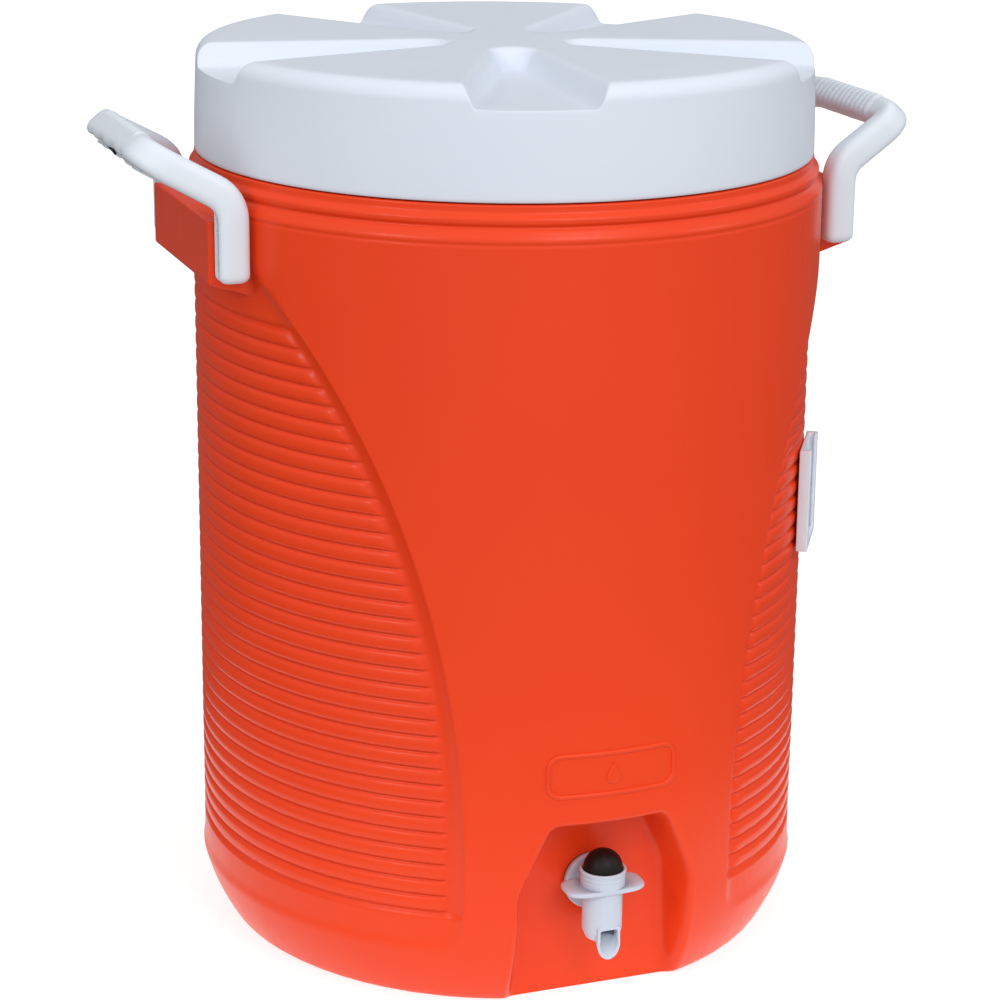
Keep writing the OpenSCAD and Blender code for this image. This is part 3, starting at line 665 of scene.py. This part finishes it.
outside, angles = oval(handle_w / 2, handle_t / 2, slot_half)
inside = oval(handle_w / 2 - skin_t, handle_t / 2 - skin_t, slot_half)[0][::-1]
across_gap = np.linspace(outside[-1], outside[0], half_points + 2)[1:-1] + (0.8, 0)
path, steps, length = handle_path()
tangent = np.gradient(path, axis=0)
tangent /= np.linalg.norm(tangent, axis=1)[:, None]
inward = np.column_stack([wall_r - 40 - path[:, 0], 0 * path[:, 0], lid_top_z + 20 - path[:, 2]])
inward -= (inward * tangent).sum(1)[:, None] * tangent
inward /= np.linalg.norm(inward, axis=1)[:, None]
upward = np.cross(tangent, inward)
rings, places, strengths, ways = [], [], [], []
for p, t, w, u, run in zip(path, tangent, inward, upward, steps):
    from_foot = min(run, length - run)
    tuck = max(0, 1 - from_foot / 4)
    shrink = 1 - 0.34 * tuck**2.5
    hollow = ease(np.array((from_foot - foot_solid) / 0.6))
    on_grip = ease(np.array((grip_y - 14 - abs(p[1])) / 6))
    section = np.vstack([outside * shrink, (inside * hollow + across_gap * (1 - hollow)) * shrink])
    lip = ease((-section[:, 0] - 3) / 5) * on_grip * (from_foot > 60)
    wave = (math.cos(2 * math.pi * p[1] / lobe_pitch) - 1) / 2
    section = section + np.outer(lip * lobe_h * wave, (-1, 0))
    facing = np.append(np.cos(angles), np.full(half_points, -1))
    around = np.vstack([np.column_stack([np.cos(angles), np.sin(angles)]),
                        np.zeros((half_points, 2))])
    rings.append(p + section[:, :1] * w + section[:, 1:] * u)
    places.append(np.full(2 * half_points, run - length / 2))
    strengths.append(ease((facing - 0.1) / 0.4) * on_grip)
    ways.append(around[:, :1] * w + around[:, 1:] * u)


def channel(name, rings, mirror):
    """Channel swept through its rings, with each end shut by faces across its section."""
    rings = np.array(rings) * ((-1, 1, 1) if mirror else (1, 1, 1))
    count, sides = rings.shape[:2]
    i = np.arange(sides)
    j = (i + 1) % sides
    first = (np.arange(count - 1) * sides)[:, None]
    quads = np.stack([first + i, first + j, first + sides + j, first + sides + i], -1)
    faces = quads.reshape(-1, 4).tolist()
    for k in range(half_points - 1):
        cap = [k, k + 1, sides - 2 - k, sides - 1 - k]
        faces.append(cap[::-1])
        faces.append([(count - 1) * sides + n for n in cap])
    return solid(name, rings.reshape(-1, 3), faces)


def plate_tree():
    """Cross ribs: sets a copy of a plate on each point of a line, square to its direction."""
    tree, given = new_tree("cross_ribs", "Width", "Depth", "Thickness")
    size = add_node(tree, "ShaderNodeCombineXYZ", [(0, given["Width"]), (1, given["Depth"]),
                                                   (2, given["Thickness"])])
    plate = add_node(tree, "GeometryNodeMeshCube", [("Size", size.outputs[0]), ("Vertices X", 4),
                                                    ("Vertices Y", 4)])

    def turned(label, axis, rotation):
        way = add_node(tree, "GeometryNodeInputNamedAttribute", [("Name", label)],
                       data_type="FLOAT_VECTOR")
        links = [("Vector", way.outputs[0])] + ([("Rotation", rotation)] if rotation else [])
        return add_node(tree, "FunctionNodeAlignRotationToVector", links, axis=axis).outputs[0]

    rotation = turned("inward", "X", turned("along", "Z", None))
    copies = add_node(tree, "GeometryNodeInstanceOnPoints", [("Points", given["Geometry"]),
                                                             ("Instance", plate.outputs[0]),
                                                             ("Rotation", rotation)])
    return close_tree(tree, given, copies.outputs[0])


handle_white = moulded_plastic("handle_polypropylene", paint(226, 233, 241), paint(217, 224, 234),
                               0.38, 600, 0.05)
for name, mirror in (("handle_right", False), ("handle_left", True)):
    piece = channel("grip_" + name[7:], rings, mirror)
    flip = np.array((-1 if mirror else 1, 1, 1))
    set_ribs(piece, np.concatenate(places), np.concatenate(strengths), np.concatenate(ways) * flip)
    run_tree(piece, ribs, {"Rib height": ridge_h * MM, "Pitch": ridge_pitch * MM,
                           "First rib": -ridge_pitch * ridge_count / 2 * MM,
                           "Number of ribs": float(ridge_count), "Material": handle_white})
    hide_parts(name)
    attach(piece, "vessel")
cross_w = 11.9
cross_depth = 10.6
cross_t = 1.6
rib_runs = np.concatenate([np.arange(14, 52, 12), np.arange(66, 98, 8)])
rib_runs = np.concatenate([rib_runs, length - rib_runs])
plate_points, plate_along, plate_inward = [], [], []
for flip in ((1, 1, 1), (-1, 1, 1)):
    for run in rib_runs:
        k = int(np.argmin(abs(steps - run)))
        plate_points.append((path[k] - inward[k] * 1.6) * flip)
        plate_along.append(tangent[k] * flip)
        plate_inward.append(inward[k] * flip)
cross_ribs = solid("handle_cross_ribs", np.array(plate_points), [])
for label, values in (("along", plate_along), ("inward", plate_inward)):
    made = cross_ribs.data.attributes.new(label, "FLOAT_VECTOR", "POINT")
    made.data.foreach_set("vector", np.array(values, np.float32).ravel())
run_tree(cross_ribs, plate_tree(), {"Width": cross_w * MM, "Depth": cross_depth * MM,
                                    "Thickness": cross_t * MM, "Material": handle_white})
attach(cross_ribs, "vessel")

# -------------------------------------------------------------------------------------------------
# Cup bracket. A white plate on the right side panel with two lips, behind which a cup dispenser
# slides down to a stop, held by two screws whose heads are let into the slot.
bracket_bearing = math.radians(58.7)
bracket_low, bracket_high = (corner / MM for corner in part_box("cup_bracket"))
bracket_w = 44
bracket_t = 6.4
plate_t = 2.4
lip_w = 4
lip_reach = 3
lip_t = 1.8
stop_h = 3
bracket_n = wall_r - crest_drop + 0.05


def on_bracket(x, n, z):
    """Point of the bracket from its place across, out of the panel and up."""
    out = bracket_n + n
    return (out * math.sin(bracket_bearing) + x * math.cos(bracket_bearing),
            -out * math.cos(bracket_bearing) + x * math.sin(bracket_bearing), z)


edge_x = bracket_w / 2
gap_x = edge_x - lip_w
tip_x = gap_x - lip_reach
under_n = bracket_t - lip_t
track = [(-edge_x, 0), (edge_x, 0), (edge_x, bracket_t), (tip_x, bracket_t), (tip_x, under_n),
         (gap_x, under_n), (gap_x, plate_t), (-gap_x, plate_t), (-gap_x, under_n),
         (-tip_x, under_n), (-tip_x, bracket_t),
         (-edge_x, bracket_t)]
low_z = bracket_low.z
stop_z = low_z + stop_h
foot_ring = [on_bracket(x, n, low_z) for x, n in (track[0], track[1], track[2], track[11])]
points = foot_ring + [on_bracket(x, n, stop_z) for x, n in track] + [
    on_bracket(x, n, bracket_high.z) for x, n in track]
stop_at, top_at = 4, 16
faces = [(3, 2, 1, 0), (0, 1, stop_at + 1, stop_at), (1, 2, stop_at + 2, stop_at + 1),
         (2, 3, stop_at + 11, stop_at + 10, stop_at + 3, stop_at + 2),
         (3, 0, stop_at, stop_at + 11),
         tuple(stop_at + k for k in range(3, 11)), tuple(top_at + k for k in range(12))]
faces += [(stop_at + k, stop_at + (k + 1) % 12, top_at + (k + 1) % 12, top_at + k)
          for k in range(12)]
bracket = solid("cup_track", points, faces)
rounding = bracket.modifiers.new("edges", "BEVEL")
rounding.width = 0.7 * MM
rounding.segments = 3
settle(bracket)
bracket.data.materials.append(handle_white)
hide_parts("cup_bracket")
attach(bracket, "vessel")

# Screws of the bracket: pan heads of stainless steel with a cross recess, turned down on the
# plate.
head_r = 3.4
head_h = 1.9
slot_depth = 1.2
slot_half_w = 0.65
slot_half_l = 2.1
head_rows = []
for share in (1, 1, 0.985, 0.93, 0.84, 0.72, 0.6, 0.48, 0.38, 0.3, 0.22, 0.14, 0.06):
    turn = np.linspace(0, 2 * math.pi, 64, endpoint=False)
    x, z = head_r * share * np.cos(turn), head_r * share * np.sin(turn)
    height = 0 if not head_rows else head_h * (1 - share**4) ** 0.5 * 0.6 + head_h * 0.4
    slot_x = ease((slot_half_w - abs(x)) / 0.35) * ease((slot_half_l - abs(z)) / 0.4)
    slot_z = ease((slot_half_w - abs(z)) / 0.35) * ease((slot_half_l - abs(x)) / 0.4)
    n = height - slot_depth * np.maximum(slot_x, slot_z) * (height > 0)
    head_rows.append(np.column_stack([x, z, n + 0 * x]))
screw = loft("screw_head", head_rows)
steel, steel_tree, steel_shader, steel_place = new_material("brushed_stainless")
steel_grain = add_node(steel_tree, "ShaderNodeTexNoise", [("Vector", steel_place),
                                                          ("Scale", 2500.0)])
steel_rough = add_node(steel_tree, "ShaderNodeMapRange", [(0, steel_grain.outputs[0]), (3, 0.2),
                                                          (4, 0.38)])
steel_tree.links.new(steel_rough.outputs[0], steel_shader.inputs["Roughness"])
steel_bump = add_node(steel_tree, "ShaderNodeBump", [("Distance", 0.02 * MM),
                                                     ("Height", steel_grain.outputs[0])])
steel_tree.links.new(steel_bump.outputs[0], steel_shader.inputs["Normal"])
steel_shader.inputs["Metallic"].default_value = 1
steel_shader.inputs["Base Color"].default_value = (*paint(190, 192, 196), 1)


def screw_tree(head):
    """Screw heads: a copy of the head on each point, turned to the point's outward direction."""
    tree, given = new_tree("screws", "Size")
    shape = add_node(tree, "GeometryNodeObjectInfo", [("Object", head)])
    way = add_node(tree, "GeometryNodeInputNamedAttribute", [("Name", "outward")],
                   data_type="FLOAT_VECTOR")
    rotation = add_node(tree, "FunctionNodeAlignRotationToVector", [("Vector", way.outputs[0])],
                        axis="Z")
    copies = add_node(tree, "GeometryNodeInstanceOnPoints", [
        ("Points", given["Geometry"]), ("Instance", shape.outputs["Geometry"]),
        ("Rotation", rotation.outputs[0]), ("Scale", given["Size"])])
    return close_tree(tree, given, copies.outputs[0])


bracket_h = bracket_high.z - bracket_low.z
screw_points = [on_bracket(0, plate_t - 0.1, low_z + bracket_h * share) for share in (0.25, 0.75)]
screws = solid("bracket_screw_heads", np.array(screw_points), [])
outward = np.tile((math.sin(bracket_bearing), -math.cos(bracket_bearing), 0), (2, 1))
screw_ways = screws.data.attributes.new("outward", "FLOAT_VECTOR", "POINT")
screw_ways.data.foreach_set("vector", outward.astype(np.float32).ravel())
run_tree(screws, screw_tree(screw), {"Size": 1.0, "Material": steel})
bpy.data.objects.remove(screw)
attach(screws, "vessel")
dress("bracket_screws", steel)

# -------------------------------------------------------------------------------------------------
# Spigot. The body is one white moulding: a round flange on the recess's wall, an upright barrel
# and a spout that leans forward at its foot. Its corners are eased, as a mould leaves them.
spigot_white = moulded_plastic("spigot_polypropylene", paint(200, 207, 220), paint(190, 198, 213),
                               0.3, 500, 0.04)


def eased_copy(node, name, grid, passes):
    """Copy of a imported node's solid with all its corners eased over the size of a fine grid."""
    work = bmesh.new()
    work.from_mesh(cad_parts[node].data)
    bmesh.ops.remove_doubles(work, verts=work.verts, dist=0.001 * MM)
    mesh = bpy.data.meshes.new(name)
    work.to_mesh(mesh)
    work.free()
    piece = bpy.data.objects.new(name, mesh)
    bpy.context.scene.collection.objects.link(piece)
    remesh = piece.modifiers.new("grid", "REMESH")
    remesh.mode = "VOXEL"
    remesh.voxel_size = grid * MM
    relax = piece.modifiers.new("relax", "SMOOTH")
    relax.factor = 0.5
    relax.iterations = passes
    settle(piece)
    piece.data.shade_smooth()
    piece.data.materials.clear()
    return piece


body = eased_copy("spigot_body", "spigot_moulding", 0.42, 6)
body.data.materials.append(spigot_white)
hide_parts("spigot_body")
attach(body, "vessel")
for node in ("spigot_outer_washer", "spigot_inner_washer", "valve_seal", "stem_o_ring"):
    dress(node, rubber)
dress("spigot_nut", spigot_white)
dress("button_stem", spigot_white)
dress("button_spring", steel)

# Bonnet of the spigot: a collar screwed over the barrel, with a thin lip and two fine lines round
# it, and two flat wings to turn it by.
bonnet_low, bonnet_high = (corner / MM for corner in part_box("spigot_bonnet"))
button_low, button_high = (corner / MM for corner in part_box("button_cap"))
barrel_y = (bonnet_low.y + bonnet_high.y) / 2
button_r = (button_high.x - button_low.x) / 2
collar_out = 12.7
bore_r = button_r + 0.35
wing_hole_r = bore_r + 0.4
wing_z = bonnet_low.z
collar_top = bonnet_high.z
wing_t = 2.5


def turned(name, profile, sides=120, closed=False):
    """Piece turned on the barrel's axis from radii and heights."""
    turn = np.linspace(0, 2 * math.pi, sides, endpoint=False)
    rows = [np.column_stack([r * np.cos(turn), barrel_y + r * np.sin(turn), np.full(sides, z)])
            for r, z in profile]
    return loft(name, rows, join_ends=closed)


line_zs = (wing_z + 6.2, wing_z + 8.6)


def collar_radius(z):
    """Radius of the collar's side, with its fine lines."""
    off_line = min(abs(z - line) for line in line_zs)
    return collar_out - 0.55 - 0.3 * math.exp(-(off_line / 0.35) ** 2)


collar_side = [(collar_radius(z), z)
               for z in np.arange(wing_z + wing_t, collar_top - 1.7, 0.2)]
collar_profile = [(bore_r, collar_top - 0.5), (bore_r + 0.15, collar_top - 0.1),
                  (bore_r + 0.45, collar_top),
                  (collar_out - 0.5, collar_top), (collar_out - 0.12, collar_top - 0.15),
                  (collar_out, collar_top - 0.5), (collar_out, collar_top - 1.0),
                  (collar_out - 0.15, collar_top - 1.35), *collar_side[::-1],
                  (collar_out - 0.55, wing_z + 0.4), (collar_out - 0.9, wing_z),
                  (bore_r + 0.3, wing_z),
                  (bore_r, wing_z + 0.3)]
collar = turned("bonnet_collar", collar_profile, closed=True)
wing_half_w = (bonnet_high.x - bonnet_low.x) / 2
wing_half_d = 12
wing_sides = 160


def wing_outline(grow):
    """Outline of the plate: an oblong with full, rounded corners."""
    turn = np.linspace(0, 2 * math.pi, wing_sides, endpoint=False)
    c, s = np.cos(turn), np.sin(turn)
    return ((wing_half_w + grow) * np.sign(c) * abs(c) ** 0.6,
            (wing_half_d + grow) * np.sign(s) * abs(s) ** 0.6)


wing_rows = []
for grow, height in ((-0.9, 0), (-0.3, 0.12), (0, 0.5), (0, wing_t - 0.7), (-0.2, wing_t - 0.25),
                     (-0.8, wing_t)):
    wx, wy = wing_outline(grow)
    wing_rows.append(np.column_stack([wx, barrel_y + wy, np.full(len(wx), wing_z + height)]))
hole = np.linspace(0, 2 * math.pi, wing_sides, endpoint=False)
for height in (wing_t, 0):
    wing_rows.append(np.column_stack([wing_hole_r * np.cos(hole),
                                      barrel_y + wing_hole_r * np.sin(hole),
                                      np.full(wing_sides, wing_z + height)]))
wings = loft("bonnet_wings", wing_rows, join_ends=True)
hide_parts("spigot_bonnet")
for piece in (collar, wings):
    piece.data.materials.append(spigot_white)
    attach(piece, "vessel")

# Push button: a hollow dome of soft black rubbery plastic that stands in the collar on its spring.
dome_z = collar_top
cap_t = 2
stem_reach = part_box("button_stem")[1].z / MM
dome = [(button_r * math.sin(a), dome_z + button_r * math.cos(a))
        for a in np.linspace(0.04, math.pi / 2, 28)]
skirt = [(button_r, button_low.z + 0.4), (button_r - 0.12, button_low.z + 0.12),
         (button_r - 0.4, button_low.z),
         (button_r - cap_t + 0.3, button_low.z), (button_r - cap_t, button_low.z + 0.3)]
bowl_r = button_r - cap_t
bowl = [(bowl_r * math.cos(a), dome_z + bowl_r * math.sin(a)) for a in np.linspace(0, 1.2, 12)]
boss_r = 4.2
stem_hole_r = 2.1
boss_z = dome_z + 1.2
socket = [(boss_r, bowl[-1][1] - 0.4), (boss_r, boss_z), (stem_hole_r, boss_z),
          (stem_hole_r, stem_reach + 0.05)]
button = turned("push_button", dome + skirt + bowl + socket)
button_black = moulded_plastic("button_black", paint(22, 16, 14), paint(17, 13, 11), 0.44, 800,
                               0.03, 0.4, 0.05)
button.data.materials.append(button_black)
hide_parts("button_cap")
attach(button, "button")

# -------------------------------------------------------------------------------------------------
# Stage: a small round pale floor, and a soft studio with a broad key light in front, a small side
# light on the left, a small fill on the right, and white surroundings that are brightest from the
# front and above.
floor_material, floor_tree, floor_shader, floor_place = new_material("pale_floor")
floor_noise = add_node(floor_tree, "ShaderNodeTexNoise", [("Vector", floor_place), ("Scale", 3.0)])
floor_colour = add_node(floor_tree, "ShaderNodeMix", [(0, floor_noise.outputs[0]),
                                                      (6, (0.34, 0.34, 0.34, 1)),
                                                      (7, (0.36, 0.36, 0.36, 1))],
                        data_type="RGBA")
floor_tree.links.new(floor_colour.outputs[2], floor_shader.inputs["Base Color"])
floor_shader.inputs["Roughness"].default_value = 0.9
floor_shader.inputs["Emission Color"].default_value = (1, 1, 1, 1)
floor_shader.inputs["Emission Strength"].default_value = 0.78
floor_mesh = bpy.data.meshes.new("floor")
floor_r = 0.36
floor_sides = 96
round_floor = [(floor_r * math.cos(a), floor_r * math.sin(a), 0)
               for a in np.linspace(0, 2 * math.pi, floor_sides + 1)[:-1]]
floor_mesh.from_pydata(round_floor, [], [tuple(range(floor_sides))])
floor = bpy.data.objects.new("floor", floor_mesh)
floor_mesh.materials.append(floor_material)
bpy.context.scene.collection.objects.link(floor)


def softbox(name, place, target, size, power):
    """Square area light at a place in metres, aimed at a target."""
    lamp = bpy.data.lights.new(name, "AREA")
    lamp.size = size
    lamp.energy = power
    holder = bpy.data.objects.new(name, lamp)
    holder.location = place
    holder.rotation_euler = (Vector(target) - Vector(place)).to_track_quat("-Z", "Y").to_euler()
    bpy.context.scene.collection.objects.link(holder)


softbox("key", (0.4, -2.9, 2.4), (0, 0, 0.25), 1.2, 22)
softbox("side", (-2.2, -1.3, 1.5), (0, 0, 0.25), 0.35, 9)
softbox("fill", (2.6, -1.6, 1.5), (0, 0, 0.25), 0.5, 5)
dimmest = 0.15
brightest = 1.15
backdrop = 1.1
brightest_way = (-0.1, -0.6, 0.79)
world = bpy.data.worlds.new("studio")
world.use_nodes = True
world_tree = world.node_tree
seen = add_node(world_tree, "ShaderNodeLightPath").outputs["Is Camera Ray"]
way = add_node(world_tree, "ShaderNodeTexCoord").outputs["Generated"]
facing = add_node(world_tree, "ShaderNodeVectorMath", [(0, way), (1, brightest_way)],
                  operation="DOT_PRODUCT").outputs["Value"]
soft = add_node(world_tree, "ShaderNodeMapRange", [(0, facing), (1, -0.4), (2, 1.0), (3, dimmest),
                                                   (4, brightest)])
level = add_node(world_tree, "ShaderNodeMix", [(0, seen), (2, soft.outputs[0]),
                                               (3, backdrop)]).outputs[0]
world_tree.links.new(level, world_tree.nodes["Background"].inputs["Strength"])
world_tree.nodes["Background"].inputs["Color"].default_value = (1, 1, 1, 1)
bpy.context.scene.world = world
bpy.context.scene.view_settings.view_transform = "Standard"

# Camera: to the front left, above the lid's height, with a long lens and a slight roll.
camera_bearing = math.radians(-20.6)
camera_distance = 1554.06
camera_height = 714.35
camera_pitch = math.radians(17.09)
camera_roll = math.radians(0.679)
lens = 102.22
ahead = Vector((-math.sin(camera_bearing), math.cos(camera_bearing), -math.tan(camera_pitch)))
ahead.normalize()
right = ahead.cross(Vector((0, 0, 1))).normalized()
up = right.cross(ahead)
right, up = (right * math.cos(camera_roll) + up * math.sin(camera_roll),
             up * math.cos(camera_roll) - right * math.sin(camera_roll))
camera_data = bpy.data.cameras.new("camera")
camera_data.lens = lens
camera_data.sensor_width = 36
camera = bpy.data.objects.new("camera", camera_data)
place = Vector((camera_distance * math.sin(camera_bearing),
                -camera_distance * math.cos(camera_bearing),
                camera_height)) * MM
camera.matrix_world = Matrix.Translation(place) @ Matrix((right, up, -ahead)).transposed().to_4x4()
bpy.context.scene.collection.objects.link(camera)
bpy.context.scene.camera = camera
